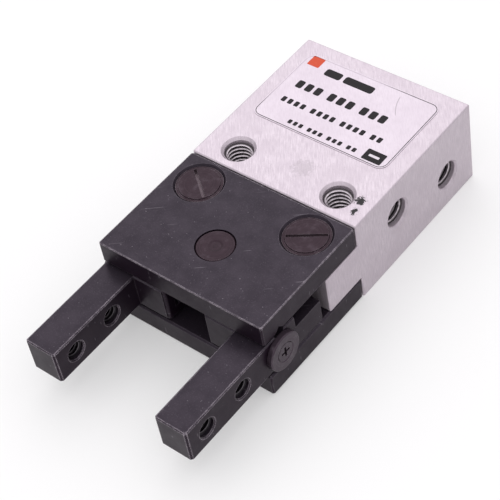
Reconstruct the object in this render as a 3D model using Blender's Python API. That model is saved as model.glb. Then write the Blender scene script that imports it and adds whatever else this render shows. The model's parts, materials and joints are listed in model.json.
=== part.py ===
"""Two-jaw parallel pneumatic gripper, 6 mm bore, single acting, normally open.

Units are metres. X is the direction in which the jaws open, the jaws point along -Y and Z is up.
The origin is on the back (lower) face of the body, midway between the two mounting holes.

The piston pushes a crosshead forward. Its two pins turn two bell-crank levers that share one
shaft, and each lever draws one finger slider inwards. The lever slots are wide enough for the
bowed paths of their pins, so every moving piece can keep a constant ratio to the piston.
"""

import math

import bmesh
import bpy
from mathutils import Matrix, Vector

MM = 0.001

# Driving dimensions
BODY_WIDTH = 20.0 * MM
BODY_HEIGHT = 10.0 * MM
BODY_LENGTH = 19.24 * MM  # block only, without the tongue
MOUNT_SETBACK = 2.55 * MM  # mounting holes behind the shoulder
PLATE_LENGTH = 14.28 * MM
PLATE_THICKNESS = 2.63 * MM
PLATE_GAP = 4.55 * MM
JAW_REACH = 25.55 * MM  # from the shoulder to the jaw tips
JAW_WIDTH = 3.7 * MM
JAW_HEIGHT = 4.0 * MM
JAW_OPENING = 12.4 * MM
FINGER_TRAVEL = 2.0 * MM
PISTON_TRAVEL = 1.6 * MM
BORE_RADIUS = 3.0 * MM
FIT = 0.05 * MM  # radial clearance of every running or seated fit

# Levels and stations worked out from them
SHOULDER_Y = -MOUNT_SETBACK
REAR_Y = SHOULDER_Y + BODY_LENGTH
MID_Z = BODY_HEIGHT / 2
JAW_Z = MID_Z + FIT
JAW_BOTTOM = JAW_Z - JAW_HEIGHT / 2
JAW_TOP = JAW_Z + JAW_HEIGHT / 2
UPPER_INNER_Z = MID_Z + PLATE_GAP / 2
UPPER_OUTER_Z = UPPER_INNER_Z + PLATE_THICKNESS
LOWER_INNER_Z = MID_Z - PLATE_GAP / 2
LOWER_OUTER_Z = LOWER_INNER_Z - PLATE_THICKNESS + 0.13 * MM
PLATE_FRONT_Y = SHOULDER_Y - PLATE_LENGTH
PLATE_REAR_Y = SHOULDER_Y - 0.12 * MM
TONGUE_FRONT_Y = SHOULDER_Y - 5.02 * MM
SIDE_X = BODY_WIDTH / 2
JAW_OUTER_X = JAW_OPENING / 2 + JAW_WIDTH
PAST = 2.0 * MM  # how far a cutter runs past a face

# Holes
M3_RADIUS = 1.5 * MM
M3_CHAMFER_RADIUS = 1.8 * MM
M2_RADIUS = 1.0 * MM
M2_CHAMFER_RADIUS = 1.13 * MM
MOUNT_HOLE_X = 6.1 * MM
PORTS = ((SHOULDER_Y + 6.45 * MM, 5.98 * MM), (SHOULDER_Y + 14.85 * MM, 3.8 * MM))
PORT_DEPTH = 3.6 * MM
AIRWAY_RADIUS = 0.55 * MM
JAW_HOLES_Y = (SHOULDER_Y - 17.85 * MM, SHOULDER_Y - 22.92 * MM)

# Guide plate screws
PLATE_SCREW_X = 6.6 * MM
PLATE_SCREW_Y = SHOULDER_Y - 3.05 * MM
SCREW_HEAD_RADIUS = 2.41 * MM
SCREW_DISC_RADIUS = 2.16 * MM  # raised middle of the head
SCREW_SINK_RADIUS = 2.62 * MM
SCREW_SHANK_RADIUS = 1.4 * MM
SCREW_SINK_DEPTH = 1.5 * MM
SCREW_SLOT = 0.3 * MM
SLOT_ANGLES = {"left": math.radians(-38), "right": math.radians(33)}

# Lever linkage, all about the lever shaft
SHAFT_Y = SHOULDER_Y - 8.6 * MM
SHAFT_HEAD_RADIUS = 1.97 * MM
SHAFT_RADIUS = 1.0 * MM
PIN_RADIUS = 0.5 * MM
SLIDER_PIN = Vector((3.2 * MM, -2.7 * MM, 0))  # from the shaft, jaws open
CROSSHEAD_PIN = Vector((3.45 * MM, 1.45 * MM, 0))
LEVER_SWING = math.atan2(SLIDER_PIN.x, -SLIDER_PIN.y) - math.atan2(
    SLIDER_PIN.x - FINGER_TRAVEL, -SLIDER_PIN.y
)
LEVER_THICKNESS = 0.85 * MM
HUB_RADIUS = 1.7 * MM
LEVER_ARM_RADIUS = 0.95 * MM
LEVER_BOTTOMS = {"right": 4.1 * MM, "left": 5.05 * MM}
LINK_SLOT = (4.0 * MM, 6.0 * MM)  # slot for the levers in sliders and crosshead

# Finger sliders
SLIDER_FRONT_Y = PLATE_FRONT_Y + 0.08 * MM
SLIDER_STEP_Y = SHOULDER_Y - 9.9 * MM
SLIDER_REAR_Y = SHOULDER_Y - 6.1 * MM
SLIDER_FLAT_X = 2.72 * MM
SLIDER_INNER_X = 2.42 * MM
SLIDER_TAIL_X = 7.4 * MM
SLIDER_TAIL_TOP = 5.6 * MM
STOPPER_Y = SHOULDER_Y - 12.3 * MM
STOPPER_Z = MID_Z - FIT
STOPPER_RADIUS = 2.07 * MM
STOPPER_THICKNESS = 0.6 * MM

# Crossed-roller raceways
ROLLER_DIAMETER = 1.1 * MM
RACE_Y = SHOULDER_Y - 12.05 * MM
RACE_HALF_DIAGONAL = (ROLLER_DIAMETER / 2 + FIT) * math.sqrt(2)
RACE_LEVELS = {
    "upper": (JAW_TOP + UPPER_INNER_Z) / 2,
    "lower": (JAW_BOTTOM + LOWER_INNER_Z) / 2,
}
RACE_INNER_X_PLATE = 3.95 * MM
RACE_INNER_X_SLIDER = 4.95 * MM
ROLLER_STATIONS = (5.6 * MM, 6.85 * MM, 8.1 * MM)

# Piston and cylinder
ROD_RADIUS = 1.1 * MM
BORE_FRONT_Y = SHOULDER_Y + 3.0 * MM
SEAL_POCKET_Y = SHOULDER_Y + 1.6 * MM
PISTON_FRONT_Y = SHOULDER_Y + 9.7 * MM
PISTON_REAR_Y = SHOULDER_Y + 13.4 * MM
CAP_FRONT_Y = SHOULDER_Y + 15.9 * MM
CAP_REAR_Y = SHOULDER_Y + 17.6 * MM
CAP_RADIUS = 3.5 * MM
RING_GROOVE_Y = (SHOULDER_Y + 17.7 * MM, SHOULDER_Y + 18.3 * MM)
CROSSHEAD_FRONT_Y = SHOULDER_Y - 8.0 * MM
CROSSHEAD_WEB_Y = SHOULDER_Y - 5.1 * MM
CROSSHEAD_REAR_Y = SHOULDER_Y - 3.9 * MM
CROSSHEAD_HALF_WIDTH = 4.4 * MM

PIN_SEGMENTS = 12
SMALL_SEGMENTS = 16
SEAL_SEGMENTS = 24
ROUND_SEGMENTS = 32

FINISHES = {
    "anodised_aluminium": ((0.78, 0.70, 0.76, 1.0), 0.42, 0.85),
    "dark_steel": ((0.075, 0.062, 0.080, 1.0), 0.38, 0.75),
    "screw_steel": ((0.085, 0.062, 0.075, 1.0), 0.34, 0.80),
    "bright_steel": ((0.55, 0.55, 0.57, 1.0), 0.28, 1.0),
    "spring_steel": ((0.42, 0.41, 0.42, 1.0), 0.30, 1.0),
    "seal_rubber": ((0.02, 0.02, 0.022, 1.0), 0.70, 0.0),
    "brass": ((0.62, 0.45, 0.18, 1.0), 0.32, 1.0),
    "label_foil": ((0.84, 0.78, 0.84, 1.0), 0.35, 0.40),
}


def clear_scene():
    for obj in list(bpy.data.objects):
        bpy.data.objects.remove(obj, do_unlink=True)


def finish(name):
    found = bpy.data.materials.get(name)
    if found:
        return found
    colour, roughness, metallic = FINISHES[name]
    material = bpy.data.materials.new(name)
    material.use_nodes = True
    shader = material.node_tree.nodes["Principled BSDF"]
    shader.inputs["Base Color"].default_value = colour
    shader.inputs["Roughness"].default_value = roughness
    shader.inputs["Metallic"].default_value = metallic
    material.diffuse_color = colour
    return material


def sign_of(side):
    return 1 if side == "right" else -1


def new_object(name, mesh_work, material, origin, smooth_angle):
    """An object whose mesh is given in world space and whose origin is moved to the given point."""
    bmesh.ops.recalc_face_normals(mesh_work, faces=mesh_work.faces)
    mesh_work.transform(Matrix.Translation(-Vector(origin)))
    mesh = bpy.data.meshes.new(name)
    mesh_work.to_mesh(mesh)
    mesh_work.free()
    mesh.materials.append(finish(material))
    mesh.shade_smooth()
    mesh.set_sharp_from_angle(angle=smooth_angle)
    obj = bpy.data.objects.new(name, mesh)
    obj.location = origin
    bpy.context.scene.collection.objects.link(obj)
    return obj


def chamfer(work, width, wanted):
    """Chamfers the convex edges that the test function accepts."""
    work.normal_update()
    edges = [e for e in work.edges if e.is_convex and e.calc_face_angle(0) > 0.5 and wanted(e)]
    bmesh.ops.bevel(work, geom=edges, offset=width, segments=1, affect="EDGES", clamp_overlap=True)


def any_edge(edge):
    return True


def extruded(outline, direction, start, end):
    """A prism: outline points lie in the plane across the direction, in X, Y, Z order."""
    axis = "XYZ".index(direction)
    work = bmesh.new()
    rings = []
    for level in (start, end):
        points = [list(point) for point in outline]
        for point in points:
            point.insert(axis, level)
        rings.append([work.verts.new(point) for point in points])
    count = len(outline)
    work.faces.new(rings[0])
    work.faces.new(rings[1])
    for i in range(count):
        j = (i + 1) % count
        work.faces.new((rings[0][i], rings[0][j], rings[1][j], rings[1][i]))
    bmesh.ops.recalc_face_normals(work, faces=work.faces)
    return work


def block(low, high):
    outline = ((low[0], low[1]), (high[0], low[1]), (high[0], high[1]), (low[0], high[1]))
    return extruded(outline, "Z", low[2], high[2])


def turned(profile, direction, centre, segments):
    """A solid of revolution. The profile is (radius, position along the axis), open or closed at radius 0."""
    axis = "XYZ".index(direction)
    across = [i for i in range(3) if i != axis]
    work = bmesh.new()
    rings = []
    for radius, along in profile:
        ring = []
        for step in range(segments if radius > 0 else 1):
            angle = 2 * math.pi * step / segments
            point = [0.0, 0.0, 0.0]
            point[axis] = along
            point[across[0]] = centre[0] + radius * math.cos(angle)
            point[across[1]] = centre[1] + radius * math.sin(angle)
            ring.append(work.verts.new(point))
        rings.append(ring)
    closed = profile[0][0] > 0
    pairs = list(zip(rings, rings[1:]))
    if closed:
        pairs.append((rings[-1], rings[0]))
    for first, second in pairs:
        for i in range(segments):
            j = (i + 1) % segments
            corners = [first[i % len(first)], first[j % len(first)]]
            corners += [second[j % len(second)], second[i % len(second)]]
            distinct = list(dict.fromkeys(corners))
            if len(distinct) > 2:
                work.faces.new(distinct)
    bmesh.ops.recalc_face_normals(work, faces=work.faces)
    return work


def rod(radius, direction, centre, start, end, segments):
    return turned(((0, start), (radius, start), (radius, end), (0, end)), direction, centre, segments)


def ring(inner, outer, direction, centre, start, end, segments):
    profile = ((inner, start), (outer, start), (outer, end), (inner, end))
    return turned(profile, direction, centre, segments)


def part(name, work, material, origin=(0, 0, 0), smooth_angle=math.radians(30)):
    return new_object(name, work, material, origin, smooth_angle)


def boolean(target, work, operation, label):
    """Joins or cuts with a hidden helper that stays in the scene."""
    helper = new_object(f"{target.name}_{label}", work, "bright_steel", (0, 0, 0), 0.5)
    helper.hide_render = True
    helper.display_type = "WIRE"
    modifier = target.modifiers.new(label, "BOOLEAN")
    modifier.operation = operation
    modifier.solver = "EXACT"
    modifier.object = helper


def cut(target, work, label):
    boolean(target, work, "DIFFERENCE", label)


def join(target, work, label):
    boolean(target, work, "UNION", label)


def chamfered_hole(direction, centre, start, end, radius, mouth_radius, both_ends=True):
    """A hole cutter whose mouths widen to the mouth radius at 45 degrees; start is always a mouth."""
    inward = 1 if end > start else -1
    depth = mouth_radius - radius
    profile = [
        (0, start - inward * PAST),
        (mouth_radius, start - inward * PAST),
        (mouth_radius, start),
        (radius, start + inward * depth),
    ]
    if both_ends:
        profile += [
            (radius, end - inward * depth),
            (mouth_radius, end),
            (mouth_radius, end + inward * PAST),
            (0, end + inward * PAST),
        ]
    else:
        profile += [(radius, end), (0, end)]
    return turned(profile, direction, centre, ROUND_SEGMENTS)


def build_body():
    outline = (
        (SHOULDER_Y, 0),
        (REAR_Y, 0),
        (REAR_Y, BODY_HEIGHT),
        (SHOULDER_Y, BODY_HEIGHT),
        (SHOULDER_Y, UPPER_INNER_Z - FIT),
        (TONGUE_FRONT_Y, UPPER_INNER_Z - FIT),
        (TONGUE_FRONT_Y, LOWER_INNER_Z + FIT),
        (SHOULDER_Y, LOWER_INNER_Z + FIT),
    )
    work = extruded(outline, "X", -SIDE_X, SIDE_X)
    chamfer(work, 0.12 * MM, any_edge)
    body = part("body", work, "anodised_aluminium")
    pocket_half = CROSSHEAD_HALF_WIDTH + 0.5 * MM
    pocket = block(
        (-pocket_half, TONGUE_FRONT_Y - PAST, -PAST),
        (pocket_half, CROSSHEAD_REAR_Y + 0.2 * MM, BODY_HEIGHT + PAST),
    )
    cut(body, pocket, "crosshead_pocket")
    bore = (
        (0, SHOULDER_Y - 5 * MM),
        (ROD_RADIUS + FIT, SHOULDER_Y - 5 * MM),
        (ROD_RADIUS + FIT, SEAL_POCKET_Y),
        (2.1 * MM, SEAL_POCKET_Y),
        (2.1 * MM, BORE_FRONT_Y),
        (BORE_RADIUS, BORE_FRONT_Y),
        (BORE_RADIUS, CAP_FRONT_Y),
        (CAP_RADIUS, CAP_FRONT_Y),
        (CAP_RADIUS, RING_GROOVE_Y[0]),
        (CAP_RADIUS + 0.4 * MM, RING_GROOVE_Y[0]),
        (CAP_RADIUS + 0.4 * MM, RING_GROOVE_Y[1]),
        (CAP_RADIUS, RING_GROOVE_Y[1]),
        (CAP_RADIUS, REAR_Y - 0.3 * MM),
        (CAP_RADIUS + 0.3 * MM, REAR_Y),
        (CAP_RADIUS + 0.3 * MM, REAR_Y + PAST),
        (0, REAR_Y + PAST),
    )
    cut(body, turned(bore, "Y", (0, MID_Z), ROUND_SEGMENTS), "cylinder_bore")
    for side in ("right", "left"):
        x = sign_of(side) * MOUNT_HOLE_X
        hole = chamfered_hole("Z", (x, 0), 0, BODY_HEIGHT, M3_RADIUS, M3_CHAMFER_RADIUS)
        cut(body, hole, f"mounting_hole_{side}")
        tap = rod(
            SCREW_SHANK_RADIUS + FIT,
            "Z",
            (sign_of(side) * PLATE_SCREW_X, PLATE_SCREW_Y),
            -PAST,
            BODY_HEIGHT + PAST,
            SMALL_SEGMENTS,
        )
        cut(body, tap, f"plate_screw_hole_{side}")
    for number, (y, z) in enumerate(PORTS, 1):
        port = chamfered_hole("X", (y, z), SIDE_X, SIDE_X - PORT_DEPTH, M3_RADIUS, 1.72 * MM, False)
        cut(body, port, f"port_{number}")
        airway = rod(AIRWAY_RADIUS, "X", (y, z), 1.5 * MM, SIDE_X - PORT_DEPTH + 1 * MM, SMALL_SEGMENTS)
        cut(body, airway, f"airway_{number}")
    return body


def race_cutter(side, inner_x, level):
    """A square channel on its corner, along X, open past the outer end."""
    half = RACE_HALF_DIAGONAL
    outline = (
        (RACE_Y - half, level),
        (RACE_Y, level - half),
        (RACE_Y + half, level),
        (RACE_Y, level + half),
    )
    ends = sorted((sign_of(side) * inner_x, sign_of(side) * (SIDE_X + PAST)))
    return extruded(outline, "X", *ends)


def build_guide_plate(name, inner_z, outer_z):
    low, high = sorted((inner_z, outer_z))
    work = block((-SIDE_X + FIT, PLATE_FRONT_Y, low), (SIDE_X - FIT, PLATE_REAR_Y, high))

    def upright(edge):
        return abs(edge.verts[0].co.z - edge.verts[1].co.z) > MM

    def on_level(level):
        return lambda edge: all(abs(v.co.z - level) < FIT for v in edge.verts)

    chamfer(work, 0.16 * MM, upright)
    chamfer(work, 0.2 * MM, on_level(inner_z))
    chamfer(work, 0.07 * MM, on_level(outer_z))
    plate = part(name, work, "dark_steel")
    outward = 1 if outer_z > inner_z else -1
    sink = (
        (0, outer_z + outward * PAST),
        (SCREW_SINK_RADIUS, outer_z + outward * PAST),
        (SCREW_SINK_RADIUS, outer_z),
        (SCREW_SHANK_RADIUS + 0.1 * MM, outer_z - outward * SCREW_SINK_DEPTH),
        (SCREW_SHANK_RADIUS + 0.1 * MM, inner_z - outward * PAST),
        (0, inner_z - outward * PAST),
    )
    for side in ("right", "left"):
        centre = (sign_of(side) * PLATE_SCREW_X, PLATE_SCREW_Y)
        cut(plate, turned(sink, "Z", centre, ROUND_SEGMENTS), f"screw_hole_{side}")
        level = RACE_LEVELS["upper" if outward > 0 else "lower"]
        cut(plate, race_cutter(side, RACE_INNER_X_PLATE, level), f"raceway_{side}")
    radius = (SHAFT_HEAD_RADIUS if outward > 0 else SHAFT_RADIUS) + FIT
    hole = rod(radius, "Z", (0, SHAFT_Y), low - PAST, high + PAST, ROUND_SEGMENTS)
    cut(plate, hole, "shaft_hole")


def build_plate_screw(side, level, outer_z):
    """A flush slotted screw; its shank ends just short of the one from the other side."""
    inward = -1 if outer_z > MID_Z else 1
    centre = (sign_of(side) * PLATE_SCREW_X, PLATE_SCREW_Y)
    head_top = outer_z + inward * 0.08 * MM
    profile = (
        (0, head_top),
        (SCREW_DISC_RADIUS - 0.06 * MM, head_top),
        (SCREW_DISC_RADIUS, head_top + inward * 0.1 * MM),
        (SCREW_HEAD_RADIUS, head_top + inward * 0.12 * MM),
        (SCREW_SHANK_RADIUS, head_top + inward * 1.47 * MM),
        (SCREW_SHANK_RADIUS, MID_Z - inward * 0.45 * MM),
        (SCREW_SHANK_RADIUS - 0.2 * MM, MID_Z - inward * 0.25 * MM),
        (0, MID_Z - inward * 0.25 * MM),
    )
    work = turned(profile, "Z", centre, ROUND_SEGMENTS)
    screw = part(f"plate_screw_{level}_{side}", work, "screw_steel")
    half = SCREW_SLOT / 2
    reach = SCREW_DISC_RADIUS - 0.15 * MM
    ends = sorted((head_top - inward * PAST, head_top + inward * 0.4 * MM))
    slot = block((-reach, -half, ends[0]), (reach, half, ends[1]))
    slot.transform(Matrix.Rotation(SLOT_ANGLES[side], 4, "Z"))
    slot.transform(Matrix.Translation((centre[0], centre[1], 0)))
    cut(screw, slot, "driver_slot")


def build_lever_shaft():
    head_top = UPPER_OUTER_Z - 0.06 * MM
    head_bottom = UPPER_INNER_Z + FIT
    profile = (
        (0, head_top - 0.05 * MM),
        (0.55 * MM, head_top - 0.05 * MM),
        (0.75 * MM, head_top),
        (SHAFT_HEAD_RADIUS - 0.12 * MM, head_top),
        (SHAFT_HEAD_RADIUS, head_top - 0.12 * MM),
        (SHAFT_HEAD_RADIUS, head_bottom),
        (SHAFT_RADIUS, head_bottom),
        (SHAFT_RADIUS, LOWER_OUTER_Z + 0.3 * MM),
        (SHAFT_RADIUS - 0.15 * MM, LOWER_OUTER_Z + 0.15 * MM),
        (0, LOWER_OUTER_Z + 0.15 * MM),
    )
    part("lever_shaft", turned(profile, "Z", (0, SHAFT_Y), ROUND_SEGMENTS), "screw_steel")


def arc(centre, radius, start, end, steps):
    points = []
    for step in range(steps + 1):
        angle = start + (end - start) * step / steps
        points.append((centre[0] + radius * math.cos(angle), centre[1] + radius * math.sin(angle)))
    return points


def build_finger(side):
    way = sign_of(side)
    nose_y = SLIDER_FRONT_Y + 0.12 * MM
    nose = SLIDER_FLAT_X - SLIDER_INNER_X
    corner = 0.22 * MM
    tip_y = SHOULDER_Y - JAW_REACH
    jaw_inner_x = JAW_OPENING / 2
    outline = [
        (jaw_inner_x + corner, tip_y),
        (JAW_OUTER_X - corner, tip_y),
        (JAW_OUTER_X, tip_y + corner),
        (JAW_OUTER_X, SLIDER_STEP_Y),
        (SLIDER_INNER_X, SLIDER_STEP_Y),
        *arc((SLIDER_FLAT_X, nose_y + nose), nose, math.pi, 1.5 * math.pi, 6),
        (SLIDER_FLAT_X, SLIDER_FRONT_Y),
        (jaw_inner_x, SLIDER_FRONT_Y),
        (jaw_inner_x, tip_y + corner),
    ]
    outline = [(way * x, y) for x, y in outline]
    work = extruded(outline, "Z", JAW_BOTTOM, JAW_TOP)

    def jaw_edge(edge):
        """The jaw's level edges, and the outer ones on along the slider."""
        first, second = (v.co for v in edge.verts)
        ahead = max(first.y, second.y) < SLIDER_FRONT_Y + FIT / 5
        outer = min(abs(first.x), abs(second.x)) > JAW_OUTER_X - FIT / 5
        return (ahead or outer) and abs(first.z - second.z) < MM

    chamfer(work, 0.26 * MM, jaw_edge)
    finger = part(f"finger_{side}", work, "dark_steel")

    def span(first, second):
        return sorted((way * first, way * second))

    tail_x = span(SLIDER_TAIL_X, JAW_OUTER_X)
    tail = block(
        (tail_x[0], SLIDER_STEP_Y - 0.5 * MM, JAW_BOTTOM), (tail_x[1], SLIDER_REAR_Y, SLIDER_TAIL_TOP)
    )
    chamfer(tail, 0.08 * MM, lambda edge: all(v.co.y > SLIDER_STEP_Y for v in edge.verts))
    join(finger, tail, "slider_tail")
    pocket_x = span(SLIDER_INNER_X - PAST, 4.9 * MM)
    pocket = block(
        (pocket_x[0], SHOULDER_Y - 13.05 * MM, LINK_SLOT[0]), (pocket_x[1], SLIDER_STEP_Y + MM, LINK_SLOT[1])
    )
    cut(finger, pocket, "lever_pocket")
    for level in RACE_LEVELS.values():
        cut(finger, race_cutter(side, RACE_INNER_X_SLIDER, level), f"raceway_{level / MM:.0f}")
    pin_centre = (way * SLIDER_PIN.x, SHAFT_Y + SLIDER_PIN.y)
    pin_hole = rod(PIN_RADIUS + FIT, "Z", pin_centre, -PAST, 6.65 * MM, PIN_SEGMENTS)
    cut(finger, pin_hole, "pin_hole")
    screw_hole = rod(0.7 * MM, "X", (STOPPER_Y, STOPPER_Z), way * 6.7 * MM, way * SIDE_X, SMALL_SEGMENTS)
    cut(finger, screw_hole, "stopper_screw_hole")
    for number, y in enumerate(JAW_HOLES_Y, 1):
        hole = chamfered_hole(
            "X", (y, JAW_Z), way * JAW_OUTER_X, way * JAW_OPENING / 2, M2_RADIUS, M2_CHAMFER_RADIUS
        )
        cut(finger, hole, f"jaw_hole_{number}")
    pin = rod(PIN_RADIUS, "Z", pin_centre, 3.2 * MM, 6.6 * MM, PIN_SEGMENTS)
    part(f"lever_pin_{side}", pin, "bright_steel")


def build_stopper(side):
    """The disc that closes the raceways' outer ends, and the countersunk screw that holds it."""
    way = sign_of(side)
    inner = way * (JAW_OUTER_X + 0.02 * MM)
    outer = inner + way * STOPPER_THICKNESS
    profile = (
        (0.72 * MM, inner),
        (STOPPER_RADIUS, inner),
        (STOPPER_RADIUS, outer - way * 0.1 * MM),
        (STOPPER_RADIUS - 0.1 * MM, outer),
        (1.12 * MM, outer),
        (0.72 * MM, outer - way * 0.4 * MM),
    )
    centre = (STOPPER_Y, STOPPER_Z)
    part(f"roller_stopper_{side}", turned(profile, "X", centre, ROUND_SEGMENTS), "dark_steel")
    head = outer - way * 0.03 * MM
    shank = (
        (0, head),
        (1.0 * MM, head),
        (1.0 * MM, head - way * 0.08 * MM),
        (0.64 * MM, head - way * 0.42 * MM),
        (0.64 * MM, way * 7.0 * MM),
        (0.5 * MM, way * 6.85 * MM),
        (0, way * 6.85 * MM),
    )
    screw = part(f"stopper_screw_{side}", turned(shank, "X", centre, ROUND_SEGMENTS), "screw_steel")
    reach, half, depth = 0.6 * MM, 0.14 * MM, 0.3 * MM
    for number, (wide, tall) in enumerate(((reach, half), (half, reach)), 1):
        ends = sorted((head - way * depth, head + way * PAST))
        slot = block(
            (ends[0], STOPPER_Y - wide, STOPPER_Z - tall), (ends[1], STOPPER_Y + wide, STOPPER_Z + tall)
        )
        cut(screw, slot, f"cross_{number}")


def place_on_lever(pin, share):
    """Where a pin's centre lies on the right-hand lever at a share of the travel, about the shaft."""
    moved = Vector((pin.x - FINGER_TRAVEL * share, pin.y, 0))
    if pin is CROSSHEAD_PIN:
        moved = Vector((pin.x, pin.y - PISTON_TRAVEL * share, 0))
    return Matrix.Rotation(LEVER_SWING * share, 3, "Z") @ moved


def slot_outline(pin, way):
    """A straight slot, open at the lever's tip and just wide enough for the pin's slightly bowed path."""
    steps = 8
    path = [place_on_lever(pin, step / steps) for step in range(steps + 1)]
    inward = (path[-1] - path[0]).normalized()
    across = Vector((-inward.y, inward.x, 0))
    bows = [(point - path[0]).dot(across) for point in path]
    half = PIN_RADIUS + FIT + (max(bows) - min(bows)) / 2
    shift = across * (max(bows) + min(bows)) / 2
    end = path[-1] + shift
    mouth = path[0] + shift - inward * PAST
    angle = math.atan2(across.y, across.x)
    points = [(mouth.x + across.x * half, mouth.y + across.y * half)]
    points += arc((end.x, end.y), half, angle, angle - math.pi, 8)
    points.append((mouth.x - across.x * half, mouth.y - across.y * half))
    return [(way * x, SHAFT_Y + y) for x, y in points]


def arm_outline(pin, way):
    """A straight arm from the shaft with a round tip that reaches just past the pin."""
    direction = pin.normalized()
    across = Vector((-direction.y, direction.x, 0))
    tip = direction * (pin.length + 0.45 * MM - LEVER_ARM_RADIUS)
    angle = math.atan2(across.y, across.x)
    points = [(-across.x * LEVER_ARM_RADIUS, -across.y * LEVER_ARM_RADIUS)]
    points += reversed(arc((tip.x, tip.y), LEVER_ARM_RADIUS, angle, angle - math.pi, 10))
    points.append((across.x * LEVER_ARM_RADIUS, across.y * LEVER_ARM_RADIUS))
    return [(way * x, SHAFT_Y + y) for x, y in points]


def build_lever(side):
    way = sign_of(side)
    bottom = LEVER_BOTTOMS[side]
    top = bottom + LEVER_THICKNESS
    hub = rod(HUB_RADIUS, "Z", (0, SHAFT_Y), bottom, top, ROUND_SEGMENTS)
    lever = part(f"lever_{side}", hub, "bright_steel", (0, SHAFT_Y, bottom))
    for label, pin in (("slider_arm", SLIDER_PIN), ("crosshead_arm", CROSSHEAD_PIN)):
        join(lever, extruded(arm_outline(pin, way), "Z", bottom, top), label)
    for label, pin in (("slider_slot", SLIDER_PIN), ("crosshead_slot", CROSSHEAD_PIN)):
        cut(lever, extruded(slot_outline(pin, way), "Z", bottom - PAST, top + PAST), label)
    bore = rod(SHAFT_RADIUS + FIT, "Z", (0, SHAFT_Y), bottom - PAST, top + PAST, ROUND_SEGMENTS)
    cut(lever, bore, "shaft_bore")


def build_rollers(side):
    """Crossed rollers: neighbours lean 45 degrees to opposite sides."""
    way = sign_of(side)
    half_length = 0.5 * MM
    radius = ROLLER_DIAMETER / 2
    profile = (
        (0, -half_length),
        (radius - 0.1 * MM, -half_length),
        (radius, -half_length + 0.1 * MM),
        (radius, half_length - 0.1 * MM),
        (radius - 0.1 * MM, half_length),
        (0, half_length),
    )
    for level, z in RACE_LEVELS.items():
        for number, x in enumerate(ROLLER_STATIONS, 1):
            work = turned(profile, "Z", (0, 0), PIN_SEGMENTS)
            lean = math.radians(45 if number % 2 else -45)
            work.transform(Matrix.Rotation(lean, 4, "X"))
            place = Vector((way * x, RACE_Y, z))
            work.transform(Matrix.Translation(place))
            part(f"guide_roller_{side}_{level}_{number}", work, "bright_steel", place)


def build_crosshead():
    low, high = 3.1 * MM, 6.9 * MM
    half = CROSSHEAD_HALF_WIDTH
    work = block((-half, CROSSHEAD_FRONT_Y, low), (half, CROSSHEAD_REAR_Y, high))
    chamfer(work, 0.1 * MM, any_edge)
    crosshead = part("crosshead", work, "bright_steel")
    slot = block(
        (-half - PAST, CROSSHEAD_FRONT_Y - PAST, LINK_SLOT[0] - FIT),
        (half + PAST, CROSSHEAD_WEB_Y, LINK_SLOT[1] + FIT),
    )
    cut(crosshead, slot, "lever_slot")
    notch = block(
        (-1.25 * MM, CROSSHEAD_FRONT_Y - PAST, 0), (1.25 * MM, SHOULDER_Y - 5.85 * MM, BODY_HEIGHT)
    )
    cut(crosshead, notch, "shaft_notch")
    stub = rod(0.8 * MM, "Y", (0, MID_Z), CROSSHEAD_WEB_Y - MM, CROSSHEAD_REAR_Y + MM, SMALL_SEGMENTS)
    cut(crosshead, stub, "rod_hole")
    for side in ("right", "left"):
        centre = (sign_of(side) * CROSSHEAD_PIN.x, SHAFT_Y + CROSSHEAD_PIN.y)
        hole = rod(PIN_RADIUS + FIT, "Z", centre, 0, BODY_HEIGHT, PIN_SEGMENTS)
        cut(crosshead, hole, f"pin_hole_{side}")
        pin = rod(PIN_RADIUS, "Z", centre, low + FIT, high - FIT, PIN_SEGMENTS)
        part(f"crosshead_pin_{side}", pin, "bright_steel")


def build_piston():
    """Piston and rod turned from one bar, with a groove for the seal and a stub for the crosshead."""
    radius = BORE_RADIUS - FIT
    groove = (PISTON_FRONT_Y + 1.3 * MM, PISTON_FRONT_Y + 2.4 * MM)
    profile = (
        (0, CROSSHEAD_WEB_Y + 0.1 * MM),
        (0.75 * MM, CROSSHEAD_WEB_Y + 0.1 * MM),
        (0.75 * MM, CROSSHEAD_REAR_Y + FIT),
        (ROD_RADIUS, CROSSHEAD_REAR_Y + FIT),
        (ROD_RADIUS, PISTON_FRONT_Y),
        (radius - 0.1 * MM, PISTON_FRONT_Y),
        (radius, PISTON_FRONT_Y + 0.1 * MM),
        (radius, groove[0]),
        (2.2 * MM, groove[0]),
        (2.2 * MM, groove[1]),
        (radius, groove[1]),
        (radius, PISTON_REAR_Y - 0.1 * MM),
        (radius - 0.1 * MM, PISTON_REAR_Y),
        (0, PISTON_REAR_Y),
    )
    part("piston", turned(profile, "Y", (0, MID_Z), ROUND_SEGMENTS), "bright_steel")
    build_o_ring("piston_seal", (groove[0] + groove[1]) / 2, 2.23 * MM, BORE_RADIUS - FIT / 2, 1.0 * MM)


def build_o_ring(name, middle_y, inner, outer, width):
    """A seal ring of rounded section, squeezed between its groove and its bore."""
    round_off = (outer - inner) / 4
    low, high = middle_y - width / 2, middle_y + width / 2
    profile = (
        (inner + round_off, low),
        (outer - round_off, low),
        (outer, low + round_off),
        (outer, high - round_off),
        (outer - round_off, high),
        (inner + round_off, high),
        (inner, high - round_off),
        (inner, low + round_off),
    )
    part(name, turned(profile, "Y", (0, MID_Z), SEAL_SEGMENTS), "seal_rubber", smooth_angle=math.radians(60))


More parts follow.
